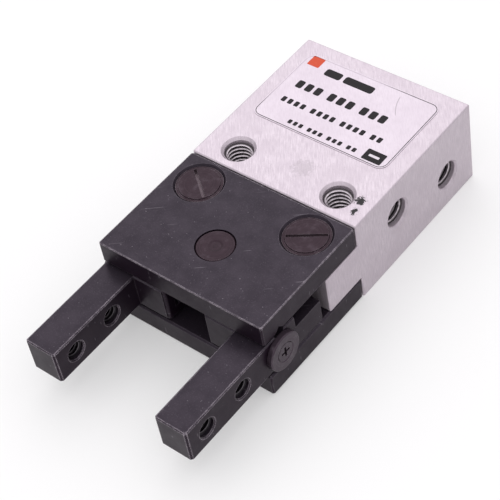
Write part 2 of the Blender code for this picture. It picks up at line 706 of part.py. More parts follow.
def build_cylinder_ends():
    build_o_ring("rod_seal", SEAL_POCKET_Y + 0.65 * MM, ROD_RADIUS + FIT / 2, 2.05 * MM, 1.1 * MM)
    ends = (BORE_FRONT_Y + FIT, BORE_FRONT_Y + 0.4 * MM)
    washer = ring(ROD_RADIUS + FIT, 2.85 * MM, "Y", (0, MID_Z), *ends, ROUND_SEGMENTS)
    part("seal_washer", washer, "brass")
    radius = CAP_RADIUS - FIT
    groove = (CAP_FRONT_Y + 0.4 * MM, CAP_FRONT_Y + 1.3 * MM)
    bumper_y = PISTON_REAR_Y + FIT
    boss_y = bumper_y + 0.75 * MM
    profile = (
        (0, boss_y),
        (1.5 * MM, boss_y),
        (1.5 * MM, CAP_FRONT_Y + FIT),
        (radius, CAP_FRONT_Y + FIT),
        (radius, groove[0]),
        (2.8 * MM, groove[0]),
        (2.8 * MM, groove[1]),
        (radius, groove[1]),
        (radius, CAP_REAR_Y - 0.1 * MM),
        (radius - 0.1 * MM, CAP_REAR_Y),
        (0.9 * MM, CAP_REAR_Y),
        (0.75 * MM, CAP_REAR_Y - 0.3 * MM),
        (0, CAP_REAR_Y - 0.3 * MM),
    )
    part("head_cap", turned(profile, "Y", (0, MID_Z), ROUND_SEGMENTS), "anodised_aluminium")
    build_o_ring("head_cap_seal", (groove[0] + groove[1]) / 2, 2.83 * MM, CAP_RADIUS - FIT / 2, 0.8 * MM)
    bumper = rod(1.7 * MM, "Y", (0, MID_Z), bumper_y, boss_y - 0.02 * MM, ROUND_SEGMENTS)
    part("piston_bumper", bumper, "seal_rubber")
    build_retaining_ring()


def build_retaining_ring():
    """An internal C ring that widens into two plier lugs; its ends leave a gap at the top."""
    half_gap = math.radians(24)
    lug_span = math.radians(16)
    start, end = math.pi / 2 + half_gap, math.pi * 2.5 - half_gap
    low, high = RING_GROOVE_Y[0] + 0.03 * MM, RING_GROOVE_Y[0] + 0.5 * MM
    outer = CAP_RADIUS + 0.32 * MM
    inner = CAP_RADIUS - 0.45 * MM
    lug_inner = CAP_RADIUS - 1.1 * MM
    steps = 40
    work = bmesh.new()
    sections = []
    for step in range(steps + 1):
        angle = start + (end - start) * step / steps
        in_lug = min(angle - start, end - angle) < lug_span
        reach = lug_inner if in_lug else inner
        section = []
        for radius, y in ((reach, low), (outer, low), (outer, high), (reach, high)):
            section.append(work.verts.new((radius * math.cos(angle), y, MID_Z + radius * math.sin(angle))))
        sections.append(section)
    for first, second in zip(sections, sections[1:]):
        for i in range(4):
            j = (i + 1) % 4
            work.faces.new((first[i], first[j], second[j], second[i]))
    work.faces.new(sections[0])
    work.faces.new(sections[-1])
    clip = part("retaining_ring", work, "spring_steel")
    hole_radius = (lug_inner + inner) / 2
    for number, angle in enumerate((start + lug_span / 2, end - lug_span / 2), 1):
        centre = (hole_radius * math.cos(angle), MID_Z + hole_radius * math.sin(angle))
        cut(clip, rod(0.25 * MM, "Y", centre, low - MM, high + MM, SMALL_SEGMENTS), f"plier_hole_{number}")


def build_return_spring():
    """A compression spring between the seal washer and the piston, with two closed end turns."""
    wire, coil_radius, sides, turns = 0.2 * MM, 2.35 * MM, 6, 6
    low = BORE_FRONT_Y + 0.4 * MM + FIT + wire
    high = PISTON_FRONT_Y - FIT - wire
    steps_per_turn = 16
    steps = turns * steps_per_turn
    work = bmesh.new()
    rings = []
    for step in range(steps + 1):
        turn = step / steps_per_turn
        angle = 2 * math.pi * turn
        closed_turn = wire * 2.2
        rise = min(turn, 1.0) * closed_turn + max(turn - (turns - 1.0), 0.0) * closed_turn
        middle = min(max(turn - 1.0, 0.0), turns - 2.0) / (turns - 2.0)
        y = low + rise + middle * (high - low - 2 * closed_turn)
        outward = Vector((math.cos(angle), 0, math.sin(angle)))
        centre = outward * coil_radius + Vector((0, y, MID_Z))
        section = []
        for corner in range(sides):
            around = 2 * math.pi * (corner + 0.5) / sides
            offset = outward * math.cos(around) + Vector((0, math.sin(around), 0))
            section.append(work.verts.new(centre + offset * wire))
        rings.append(section)
    for first, second in zip(rings, rings[1:]):
        for i in range(sides):
            j = (i + 1) % sides
            work.faces.new((first[i], first[j], second[j], second[i]))
    work.faces.new(rings[0])
    work.faces.new(rings[-1])
    part("return_spring", work, "spring_steel", smooth_angle=math.radians(60))


def build_nameplate():
    """A thin foil label with rounded corners on the upper face."""
    left, right = -8.35 * MM, 7.95 * MM
    front, rear, corner = SHOULDER_Y + 7.3 * MM, SHOULDER_Y + 17.5 * MM, 1.0 * MM
    outline = []
    for x, y, start in (
        (right - corner, rear - corner, 0),
        (left + corner, rear - corner, math.pi / 2),
        (left + corner, front + corner, math.pi),
        (right - corner, front + corner, 1.5 * math.pi),
    ):
        outline += arc((x, y), corner, start, start + math.pi / 2, 6)
    low = BODY_HEIGHT + 0.01 * MM
    part("nameplate", extruded(outline, "Z", low, low + 0.05 * MM), "label_foil")


def build_gripper():
    build_body()
    build_guide_plate("upper_guide_plate", UPPER_INNER_Z, UPPER_OUTER_Z)
    build_guide_plate("lower_guide_plate", LOWER_INNER_Z, LOWER_OUTER_Z)
    build_lever_shaft()
    for side in ("right", "left"):
        build_plate_screw(side, "upper", UPPER_OUTER_Z)
        build_plate_screw(side, "lower", LOWER_OUTER_Z)
        build_finger(side)
        build_stopper(side)
        build_lever(side)
        build_rollers(side)
    build_crosshead()
    build_piston()
    build_cylinder_ends()
    build_return_spring()
    build_nameplate()


clear_scene()
build_gripper()
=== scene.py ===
"""Looks of the two-jaw pneumatic gripper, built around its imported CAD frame.

Units are metres in the CAD's own frame: X across the jaws, jaws towards -Y, Z up.
"""

import json
import math

import bmesh
import bpy
from mathutils import Matrix, Vector


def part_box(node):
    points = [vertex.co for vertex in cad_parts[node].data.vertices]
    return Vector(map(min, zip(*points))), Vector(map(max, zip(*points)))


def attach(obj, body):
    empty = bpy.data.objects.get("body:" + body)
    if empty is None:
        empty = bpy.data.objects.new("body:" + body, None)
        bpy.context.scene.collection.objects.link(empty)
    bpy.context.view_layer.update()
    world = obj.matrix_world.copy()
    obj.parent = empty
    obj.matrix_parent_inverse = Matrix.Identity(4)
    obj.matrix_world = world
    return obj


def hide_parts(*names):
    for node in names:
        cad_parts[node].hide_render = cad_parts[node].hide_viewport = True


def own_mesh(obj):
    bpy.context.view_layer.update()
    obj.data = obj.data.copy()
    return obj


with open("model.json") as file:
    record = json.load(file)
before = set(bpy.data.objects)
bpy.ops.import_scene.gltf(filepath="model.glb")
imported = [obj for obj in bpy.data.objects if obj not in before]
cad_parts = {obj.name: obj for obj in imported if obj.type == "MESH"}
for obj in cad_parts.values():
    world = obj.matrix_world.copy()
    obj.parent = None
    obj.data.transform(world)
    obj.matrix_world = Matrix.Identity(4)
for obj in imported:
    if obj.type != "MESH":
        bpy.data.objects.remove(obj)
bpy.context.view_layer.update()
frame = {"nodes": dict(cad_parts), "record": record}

MM = 0.001
NODES = frame["nodes"]
SIDES = {"right": 1, "left": -1}
BODY_LOW, BODY_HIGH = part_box("body")
LABEL_LOW, LABEL_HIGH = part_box("nameplate")
UPPER_SCREW_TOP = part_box("plate_screw_upper_right")[1].z
MID_Z = BODY_HIGH.z / 2
SCREW_DISC_RADIUS = 2.16 * MM
FLAT_STREAK_TURN = math.radians(-39)
LABEL_SCRATCH = (4.1, 12.85)    # middle of the scratch, in millimetres
SCUFFS = ((8.40, 0.45, 0.58), (8.75, -0.95, 0.42))    # x, y and radius, in millimetres
HANDLING_MARK = (1.0, 1.2, 1.2)
MOUNT_HOLE_X = 6.1 * MM
PORTS = ((3.90 * MM, 5.98 * MM), (12.30 * MM, 3.80 * MM))
PORT_DEPTH = 3.6 * MM
JAW_HOLES_Y = (-20.40 * MM, -25.47 * MM)
JAW_HOLE_Z = 5.05 * MM
JAW_FACES_X = (6.2 * MM, 9.9 * MM)
HORIZON_LIGHT = 0.30
ZENITH_LIGHT = 1.33
REAR_POWER = 0.45
FLOOR_GLOW = 0.33


# ---------------------------------------------------------------- material helpers


def new_material(name, metallic=0.0, coat=0.0, specular=0.5):
    """A node material with its principled shader; the constants sit on the shader's own sockets."""
    material = bpy.data.materials.new(name)
    material.use_nodes = True
    tree = material.node_tree
    shader = tree.nodes["Principled BSDF"]
    shader.inputs["Metallic"].default_value = metallic
    shader.inputs["Coat Weight"].default_value = coat
    shader.inputs["Specular IOR Level"].default_value = specular
    return material, tree, shader


def plug(tree, value, socket):
    """Links a socket, or sets a plain value."""
    if isinstance(value, bpy.types.NodeSocket):
        tree.links.new(value, socket)
    else:
        socket.default_value = value


def maths(tree, operation, *values, clamp=False):
    node = tree.nodes.new("ShaderNodeMath")
    node.operation = operation
    node.use_clamp = clamp
    for index, value in enumerate(values):
        plug(tree, value, node.inputs[index])
    return node.outputs[0]


def ramp(tree, value, low, high, out_low=0.0, out_high=1.0):
    """A smooth step of a value from one range to another."""
    node = tree.nodes.new("ShaderNodeMapRange")
    node.interpolation_type = "SMOOTHSTEP"
    for index, item in enumerate((value, low, high, out_low, out_high)):
        plug(tree, item, node.inputs[index])
    return node.outputs[0]


def mix(tree, factor, first, second, blend="MIX"):
    node = tree.nodes.new("ShaderNodeMix")
    node.data_type = "RGBA"
    node.blend_type = blend
    plug(tree, factor, node.inputs[0])
    plug(tree, first, node.inputs[6])
    plug(tree, second, node.inputs[7])
    return node.outputs[2]


def blend_values(tree, factor, first, second):
    node = tree.nodes.new("ShaderNodeMix")
    node.data_type = "FLOAT"
    plug(tree, factor, node.inputs[0])
    plug(tree, first, node.inputs[2])
    plug(tree, second, node.inputs[3])
    return node.outputs[0]


def millimetres(tree, turn=0.0, scale=(1, 1, 1), shift=(0, 0, 0)):
    """Object coordinates in millimetres, turned about Z and then stretched."""
    coordinates = tree.nodes.new("ShaderNodeTexCoord")
    turned = tree.nodes.new("ShaderNodeMapping")
    turned.inputs["Rotation"].default_value = (0, 0, turn)
    turned.inputs["Scale"].default_value = (1000, 1000, 1000)
    turned.inputs["Location"].default_value = shift
    stretched = tree.nodes.new("ShaderNodeMapping")
    stretched.inputs["Scale"].default_value = scale
    tree.links.new(coordinates.outputs["Object"], turned.inputs["Vector"])
    tree.links.new(turned.outputs["Vector"], stretched.inputs["Vector"])
    return stretched.outputs["Vector"]


def noise(tree, coordinates, scale, detail=2.0, roughness=0.5):
    node = tree.nodes.new("ShaderNodeTexNoise")
    plug(tree, coordinates, node.inputs["Vector"])
    node.inputs["Scale"].default_value = scale
    node.inputs["Detail"].default_value = detail
    node.inputs["Roughness"].default_value = roughness
    return node.outputs["Fac"]


def axes_of(tree, vector):
    node = tree.nodes.new("ShaderNodeSeparateXYZ")
    plug(tree, vector, node.inputs[0])
    return node.outputs


def facing_up(tree):
    """1 on faces that look up or down, 0 on upright ones."""
    geometry = tree.nodes.new("ShaderNodeNewGeometry")
    return maths(tree, "ABSOLUTE", axes_of(tree, geometry.outputs["True Normal"])[2])


def edge_mask(tree, radius, low=0.02, high=0.22):
    """1 along edges: where the normal rounded over the radius leaves the face's own normal."""
    bevel = tree.nodes.new("ShaderNodeBevel")
    bevel.samples = 4
    bevel.inputs["Radius"].default_value = radius
    geometry = tree.nodes.new("ShaderNodeNewGeometry")
    dot = tree.nodes.new("ShaderNodeVectorMath")
    dot.operation = "DOT_PRODUCT"
    tree.links.new(bevel.outputs[0], dot.inputs[0])
    tree.links.new(geometry.outputs["True Normal"], dot.inputs[1])
    away = maths(tree, "SUBTRACT", 1.0, dot.outputs["Value"])
    return ramp(tree, away, low, high)


def bump(tree, shader, height, distance, strength=1.0, chained=None):
    node = tree.nodes.new("ShaderNodeBump")
    node.inputs["Strength"].default_value = strength
    node.inputs["Distance"].default_value = distance
    plug(tree, height, node.inputs["Height"])
    if chained is not None:
        tree.links.new(chained, node.inputs["Normal"])
    tree.links.new(node.outputs[0], shader.inputs["Normal"])
    return node.outputs[0]


def streaks(tree, across=8.5, along=0.8):
    """Fine machining lines: slanting on flat faces, upright on the side faces."""
    flat = noise(tree, millimetres(tree, FLAT_STREAK_TURN, (across, along, 1)), 1.0, 3.0, 0.65)
    side = noise(tree, millimetres(tree, 0.0, (across, across, along)), 1.0, 3.0, 0.65)
    return blend_values(tree, facing_up(tree), side, flat)


def hole_distance(tree, place, across, centres):
    """Distance in millimetres to the nearest of some parallel hole axes."""
    parts = axes_of(tree, place)
    nearest = None
    for centre in centres:
        squares = []
        for index, value in zip(across, centre):
            offset = maths(tree, "SUBTRACT", parts[index], value / MM)
            squares.append(maths(tree, "POWER", offset, 2.0))
        away = maths(tree, "SQRT", maths(tree, "ADD", *squares))
        nearest = away if nearest is None else maths(tree, "MINIMUM", nearest, away)
    return nearest


def away_from_rims(tree, place):
    """0 around the plate screws and the lever shaft, whose rims stay dark, and 1 elsewhere."""
    mask = 1.0
    for node in ("plate_screw_upper_right", "plate_screw_upper_left", "lever_shaft"):
        low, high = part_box(node)
        centre = ((low.x + high.x) / 2, (low.y + high.y) / 2)
        reach = (high.x - low.x) / 2 / MM
        away = hole_distance(tree, place, (0, 1), [centre])
        mask = maths(tree, "MULTIPLY", mask, ramp(tree, away, reach + 0.2, reach + 0.35))
    return mask


def exposed(tree, place):
    """1 on the upper plate's outer face and the jaws, whose edges get rubbed wear and a painted highlight;
    low elsewhere.
    """
    low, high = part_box("upper_guide_plate")
    parts = axes_of(tree, place)
    outer_face = ramp(tree, parts[2], high.z / MM - 0.6, high.z / MM - 0.2)
    ahead = maths(tree, "MULTIPLY", parts[1], -1.0)
    jaws = ramp(tree, ahead, -low.y / MM + 0.1, -low.y / MM + 1.0)
    return maths(tree, "ADD", maths(tree, "MAXIMUM", outer_face, jaws), 0.2, clamp=True)


def spot(tree, x, y, radius, ragged):
    """A small ragged mark on the top face, as a mask; the place is in millimetres."""
    place = millimetres(tree)
    wobble = noise(tree, place, 2.6, 4.0, 0.75)
    parts = axes_of(tree, place)
    dx = maths(tree, "SUBTRACT", parts[0], x)
    dy = maths(tree, "SUBTRACT", parts[1], y)
    squares = [maths(tree, "POWER", offset, 2.0) for offset in (dx, dy)]
    away = maths(tree, "SQRT", maths(tree, "ADD", *squares))
    reach = maths(tree, "ADD", away, maths(tree, "MULTIPLY", maths(tree, "SUBTRACT", wobble, 0.5), ragged))
    inside = ramp(tree, reach, radius, radius * 0.7)
    top = BODY_HIGH.z / MM
    on_top = ramp(tree, parts[2], top - 0.3, top - 0.1)
    return maths(tree, "MULTIPLY", inside, on_top)


# ---------------------------------------------------------------- materials


def anodised_aluminium():
    """Pale, faintly pink aluminium: machining lines, blotches, handling marks, painted highlights along the
    edges and painted shade on upright faces.
    """
    material, tree, shader = new_material("anodised_aluminium", metallic=0.55)
    place = millimetres(tree)
    lines = streaks(tree)
    blotches = noise(tree, place, 0.45, 4.0, 0.6)
    grain = noise(tree, place, 9.0, 2.0, 0.6)
    colour = mix(tree, ramp(tree, blotches, 0.3, 0.7), (0.535, 0.467, 0.522, 1), (0.595, 0.527, 0.582, 1))
    colour = mix(tree, ramp(tree, lines, 0.36, 0.56), (0.515, 0.45, 0.505, 1), colour)
    colour = mix(tree, ramp(tree, lines, 0.56, 0.68, 0.0, 0.4), colour, (0.69, 0.615, 0.675, 1))
    colour = mix(tree, ramp(tree, grain, 0.58, 0.76, 0.0, 0.6), colour, (0.36, 0.31, 0.345, 1))
    smudge = noise(tree, millimetres(tree, 0.3, (0.5, 1.2, 1)), 0.8, 5.0, 0.75)
    colour = mix(tree, ramp(tree, smudge, 0.60, 0.76, 0.0, 0.3), colour, (0.34, 0.30, 0.325, 1))
    handled = spot(tree, *HANDLING_MARK, 4.5)
    colour = mix(tree, maths(tree, "MULTIPLY", handled, 0.26), colour, (0.27, 0.24, 0.26, 1))
    for scuff in SCUFFS:
        mark = spot(tree, *scuff, 1.9)
        colour = mix(tree, mark, colour, (0.018, 0.016, 0.018, 1))
    # Painted shade: upright faces are darkened by up to 9 percent.
    shade = ramp(tree, facing_up(tree), 0.2, 0.7, 0.09, 0.0)
    colour = mix(tree, shade, colour, (0.05, 0.04, 0.05, 1))
    # Painted highlight: a pale line along every edge.
    edges = edge_mask(tree, 0.10 * MM)
    colour = mix(tree, maths(tree, "MULTIPLY", edges, 0.6), colour, (0.78, 0.71, 0.77, 1))
    tree.links.new(colour, shader.inputs["Base Color"])
    rough = ramp(tree, lines, 0.3, 0.7, 0.44, 0.34)
    tree.links.new(rough, shader.inputs["Roughness"])
    first = bump(tree, shader, lines, 0.006 * MM, 0.8)
    bump(tree, shader, grain, 0.004 * MM, 0.7, first)
    return material


def thread_metal(name, root, crest, across, centres, major):
    """Cut thread: crests painted pale as a highlight and roots painted dark as shade, by distance from the
    hole axes; dirt dulls some crests.
    """
    material, tree, shader = new_material(name, metallic=0.7)
    place = millimetres(tree)
    dirt = noise(tree, place, 2.5, 3.0, 0.6)
    away = hole_distance(tree, place, across, centres)
    # Painted light and shade: 1 at the crests, 0 in the roots.
    painted_crest_light = ramp(tree, away, (major - 0.12 * MM) / MM, (major - 0.25 * MM) / MM)
    dulled = tuple(0.7 * value for value in crest[:3]) + (1,)
    colour = mix(tree, painted_crest_light, root, mix(tree, ramp(tree, dirt, 0.4, 0.7), crest, dulled))
    tree.links.new(colour, shader.inputs["Base Color"])
    tree.links.new(ramp(tree, dirt, 0.3, 0.7, 0.28, 0.42), shader.inputs["Roughness"])
    bump(tree, shader, noise(tree, place, 14.0, 2.0), 0.003 * MM, 0.6)
    return material


def dark_steel():
    """Hardened steel, oxide-darkened: cloudy, speckled, finely scratched, with painted shade on upright
    faces and edges pale from wear and a painted highlight.
    """
    material, tree, shader = new_material("dark_steel", metallic=0.5)
    place = millimetres(tree)
    clouds = noise(tree, place, 0.5, 4.0, 0.6)
    grain = noise(tree, place, 7.0, 3.0, 0.65)
    specks = noise(tree, place, 5.2, 1.0, 0.4)
    colour = mix(tree, ramp(tree, clouds, 0.3, 0.7), (0.025, 0.018, 0.028, 1), (0.033, 0.0245, 0.036, 1))
    colour = mix(tree, ramp(tree, grain, 0.52, 0.72, 0.0, 0.5), colour, (0.062, 0.050, 0.066, 1))
    colour = mix(tree, ramp(tree, specks, 0.765, 0.80, 0.0, 0.6), colour, (0.24, 0.22, 0.25, 1))
    # Painted shade: upright faces are pulled three quarters of the way to near black.
    painted_side_shade = mix(tree, 0.75, colour, (0.012, 0.004, 0.012, 1))
    colour = mix(tree, ramp(tree, facing_up(tree), 0.2, 0.7), painted_side_shade, colour)
    hair = noise(tree, millimetres(tree, 0.9, (4.5, 0.22, 1.0), (3, 1, 0)), 1.0, 1.0, 0.4)
    colour = mix(tree, ramp(tree, hair, 0.735, 0.765, 0.0, 0.28), colour, (0.22, 0.2, 0.23, 1))
    # Pale edges: wear noise on the edges plus a painted highlight, kept to the upper plate's outer face and
    # the jaws and off the screw rims.
    wear = noise(tree, place, 1.7, 3.0, 0.7)
    edge_band = edge_mask(tree, 0.15 * MM, 0.004, 0.05)
    edges = maths(tree, "MULTIPLY", edge_band, ramp(tree, wear, 0.35, 0.6, 0.4, 1.0))
    edges = maths(tree, "MULTIPLY", edges, away_from_rims(tree, place))
    edges = maths(tree, "MULTIPLY", edges, exposed(tree, place))
    colour = mix(tree, edges, colour, (0.34, 0.30, 0.34, 1))
    tree.links.new(colour, shader.inputs["Base Color"])
    rough = ramp(tree, clouds, 0.3, 0.7, 0.46, 0.38)
    tree.links.new(blend_values(tree, edges, rough, 0.3), shader.inputs["Roughness"])
    shine = ramp(tree, facing_up(tree), 0.2, 0.7, 0.19, 0.34)
    tree.links.new(shine, shader.inputs["Specular IOR Level"])
    first = bump(tree, shader, grain, 0.004 * MM, 0.9)
    bump(tree, shader, hair, 0.003 * MM, 0.5, first)
    return material


def turned_steel(name, axis, centre, dark, light, worn):
    """Lathe-turned dark steel: rings about its own axis, worn patches, edges pale from wear and a painted
    highlight, and painted light in the screw slots.
    """
    material, tree, shader = new_material(name, metallic=0.5, specular=0.36)
    place = millimetres(tree)
    parts = axes_of(tree, place)
    across = [index for index in range(3) if index != axis]
    squares = []
    for index in across:
        offset = maths(tree, "SUBTRACT", parts[index], centre[index] / MM)
        squares.append(maths(tree, "POWER", offset, 2.0))
    radius = maths(tree, "SQRT", maths(tree, "ADD", *squares))
    wobble = noise(tree, place, 1.1, 2.0)
    ringed = noise(tree, maths(tree, "ADD", maths(tree, "MULTIPLY", radius, 5.5), wobble), 1.0, 3.0, 0.7)
    rings = maths(tree, "SINE", maths(tree, "MULTIPLY", radius, 38.0))
    patches = noise(tree, place, 1.3, 4.0, 0.65)
    colour = mix(tree, ramp(tree, ringed, 0.35, 0.65), dark, light)
    colour = mix(tree, ramp(tree, patches, 0.5, 0.75, 0.0, 0.6), colour, worn)
    # Pale edges: wear patches plus a painted highlight.
    edges = maths(tree, "MULTIPLY", edge_mask(tree, 0.06 * MM), ramp(tree, patches, 0.35, 0.6, 0.3, 0.9))
    colour = mix(tree, edges, colour, (0.20, 0.17, 0.19, 1))
    if axis == 2:
        from_middle = maths(tree, "ABSOLUTE", maths(tree, "SUBTRACT", parts[2], MID_Z / MM))
        reach = (UPPER_SCREW_TOP - MID_Z) / MM
        disc = SCREW_DISC_RADIUS / MM
        # Painted light: the screw slot's walls and floor are painted much paler than the head, lifting the
        # slot's shade.
        in_slot = ramp(tree, from_middle, reach - 0.06, reach - 0.14)
        in_slot = maths(tree, "MULTIPLY", in_slot, ramp(tree, radius, disc - 0.04, disc - 0.10))
        colour = mix(tree, maths(tree, "MULTIPLY", in_slot, 0.8), colour, (0.16, 0.12, 0.14, 1))
    tree.links.new(colour, shader.inputs["Base Color"])
    tree.links.new(ramp(tree, patches, 0.3, 0.7, 0.46, 0.34), shader.inputs["Roughness"])
    first = bump(tree, shader, rings, 0.002 * MM, 0.8)
    bump(tree, shader, ringed, 0.004 * MM, 0.8, first)
    return material


def ground_steel():
    """Bright ground steel with fine lines and a trace of oil staining."""
    material, tree, shader = new_material("bright_steel", metallic=1.0)
    lines = streaks(tree, 11.0, 0.8)
    stain = noise(tree, millimetres(tree), 0.9, 3.0, 0.6)
    colour = mix(tree, ramp(tree, stain, 0.4, 0.75), (0.55, 0.55, 0.57, 1), (0.40, 0.385, 0.38, 1))
    colour = mix(tree, ramp(tree, lines, 0.35, 0.65, 0.3, 0.0), colour, (0.30, 0.30, 0.31, 1))
    tree.links.new(colour, shader.inputs["Base Color"])
    tree.links.new(ramp(tree, lines, 0.3, 0.7, 0.34, 0.24), shader.inputs["Roughness"])
    bump(tree, shader, lines, 0.003 * MM, 0.6)
    return material


def spring_wire():
    """Drawn steel wire, slightly browned."""
    material, tree, shader = new_material("spring_steel", metallic=1.0)
    drawn = noise(tree, millimetres(tree), 6.0, 3.0, 0.6)
    colour = mix(tree, ramp(tree, drawn, 0.35, 0.7), (0.44, 0.43, 0.43, 1), (0.30, 0.28, 0.27, 1))
    tree.links.new(colour, shader.inputs["Base Color"])
    tree.links.new(ramp(tree, drawn, 0.3, 0.7, 0.26, 0.38), shader.inputs["Roughness"])
    bump(tree, shader, drawn, 0.003 * MM, 0.6)
    return material


def moulded_rubber():
    """Nitrile rubber with a satin skin and a little dust."""
    material, tree, shader = new_material("seal_rubber", specular=0.4)
    skin = noise(tree, millimetres(tree), 12.0, 3.0, 0.6)
    dust = noise(tree, millimetres(tree), 2.0, 4.0, 0.7)
    colour = mix(tree, ramp(tree, dust, 0.5, 0.8), (0.018, 0.018, 0.02, 1), (0.06, 0.058, 0.058, 1))
    tree.links.new(colour, shader.inputs["Base Color"])
    tree.links.new(ramp(tree, skin, 0.3, 0.7, 0.55, 0.72), shader.inputs["Roughness"])
    bump(tree, shader, skin, 0.004 * MM, 0.7)
    return material


def turned_brass():
    """Turned brass, dulled unevenly."""
    material, tree, shader = new_material("brass", metallic=1.0)
    dull = noise(tree, millimetres(tree), 1.6, 4.0, 0.65)
    colour = mix(tree, ramp(tree, dull, 0.35, 0.7), (0.66, 0.47, 0.19, 1), (0.42, 0.28, 0.12, 1))
    tree.links.new(colour, shader.inputs["Base Color"])
    tree.links.new(ramp(tree, dull, 0.3, 0.7, 0.28, 0.42), shader.inputs["Roughness"])
    bump(tree, shader, noise(tree, millimetres(tree), 15.0), 0.002 * MM, 0.6)
    return material


def label_foil():
    """Satin foil label: faint fibres and one crease-like scratch."""
    material, tree, shader = new_material("label_foil", metallic=0.35, coat=0.15)
    place = millimetres(tree)
    fibres = streaks(tree, 10.0, 1.2)
    clouds = noise(tree, place, 0.35, 3.0, 0.6)
    colour = mix(tree, ramp(tree, clouds, 0.3, 0.7), (0.625, 0.55, 0.62, 1), (0.67, 0.595, 0.665, 1))
    colour = mix(tree, ramp(tree, fibres, 0.32, 0.6, 0.35, 0.0), colour, (0.53, 0.46, 0.52, 1))
    parts = axes_of(tree, place)
    bend = maths(tree, "MULTIPLY", maths(tree, "SINE", maths(tree, "MULTIPLY", parts[1], 1.1)), 0.22)
    scratch_x, scratch_y = LABEL_SCRATCH
    slope = maths(tree, "MULTIPLY", maths(tree, "SUBTRACT", parts[1], scratch_y), 0.46)
    middle = maths(tree, "SUBTRACT", maths(tree, "SUBTRACT", scratch_x, slope), bend)
    away = maths(tree, "ABSOLUTE", maths(tree, "SUBTRACT", parts[0], middle))
    line = ramp(tree, away, 0.07, 0.025)
    length = maths(tree, "ABSOLUTE", maths(tree, "SUBTRACT", parts[1], scratch_y))
    scratch = maths(tree, "MULTIPLY", line, ramp(tree, length, 1.35, 1.0))
    colour = mix(tree, maths(tree, "MULTIPLY", scratch, 0.75), colour, (0.32, 0.28, 0.31, 1))
    tree.links.new(colour, shader.inputs["Base Color"])
    tree.links.new(ramp(tree, fibres, 0.3, 0.7, 0.46, 0.36), shader.inputs["Roughness"])
    first = bump(tree, shader, fibres, 0.004 * MM, 0.6)
    bump(tree, shader, scratch, 0.02 * MM, -0.6, first)
    return material


def printing_ink(name, full, thin):
    """Screen-printed ink, thinner in places, with a slightly uneven surface."""
    material, tree, shader = new_material(name, specular=0.2)
    cover = noise(tree, millimetres(tree), 4.5, 3.0, 0.7)
    colour = mix(tree, ramp(tree, cover, 0.5, 0.75), full, thin)
    tree.links.new(colour, shader.inputs["Base Color"])
    tree.links.new(ramp(tree, cover, 0.3, 0.7, 0.42, 0.58), shader.inputs["Roughness"])
    bump(tree, shader, cover, 0.003 * MM, 0.6)
    return material


def outline_ink_and_shadow():
    """The label's fine printed outline: dark at the front and right as painted shadow of the label's edge,
    fading almost away at the rear and left.
    """
    material, tree, shader = new_material("outline_ink_and_shadow", specular=0.3)
    place = millimetres(tree)
    parts = axes_of(tree, place)
    cover = noise(tree, place, 3.5, 3.0, 0.7)
    # Painted shadow: darkest along the front and right edges, fading out towards the rear and left.
    ahead = maths(tree, "SUBTRACT", maths(tree, "MULTIPLY", parts[0], 0.75), parts[1])
    painted_shadow_side = ramp(tree, maths(tree, "ADD", ahead, cover), -14.5, -11.0)
    colour = mix(tree, painted_shadow_side, (0.55, 0.48, 0.54, 1), (0.06, 0.05, 0.055, 1))
    tree.links.new(colour, shader.inputs["Base Color"])
    tree.links.new(ramp(tree, cover, 0.3, 0.7, 0.42, 0.58), shader.inputs["Roughness"])
    bump(tree, shader, cover, 0.003 * MM, 0.6)
    return material


# ---------------------------------------------------------------- mesh helpers


def piece_from(name, work, material, body):
    """A finished piece from bmesh data: smooth where round, riding on its body."""
    bmesh.ops.recalc_face_normals(work, faces=work.faces)
    mesh = bpy.data.meshes.new(name)
    work.to_mesh(mesh)
    work.free()
    mesh.materials.append(material)
    mesh.shade_smooth()
    mesh.set_sharp_from_angle(angle=math.radians(35))
    piece = bpy.data.objects.new(name, mesh)
    bpy.context.scene.collection.objects.link(piece)
    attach(piece, body)
    return piece


def swept(work, sections):
    """Skins a row of equal closed sections and caps both ends."""
    rings = [[work.verts.new(point) for point in section] for section in sections]
    count = len(rings[0])
    for first, second in zip(rings, rings[1:]):
        for i in range(count):
            j = (i + 1) % count
            work.faces.new((first[i], first[j], second[j], second[i]))
    work.faces.new(rings[0])
    work.faces.new(rings[-1])


def thread_ridge(work, place, start, end, major, pitch):
    """An internal thread's ridge as one helix; place turns (along, radius, angle) into a point."""
    depth = 0.54 * pitch
    turns = (end - start) / pitch
    steps = int(turns * 28)
    sections = []
    for step in range(steps + 1):
        share = step / steps
        angle = 2 * math.pi * turns * share
        middle = start + (end - start) * share
        run_out = min(1.0, 4 * turns * min(share, 1 - share) + 0.04)
        crest = major - depth * run_out
        root = major + 0.04 * MM
        half_root, half_crest = 0.46 * pitch, 0.07 * pitch
        corners = ((-half_root, root), (-half_crest, crest), (half_crest, crest), (half_root, root))
        sections.append([place(middle + along, radius, angle) for along, radius in corners])
    swept(work, sections)


def hole_place(axis, centre):
    """Places helix points about a hole along X or Z through the given centre."""

    def along_z(along, radius, angle):
        return (centre[0] + radius * math.cos(angle), centre[1] + radius * math.sin(angle), along)

    def along_x(along, radius, angle):
        return (along, centre[0] + radius * math.cos(angle), centre[1] + radius * math.sin(angle))

    return along_x if axis == "X" else along_z


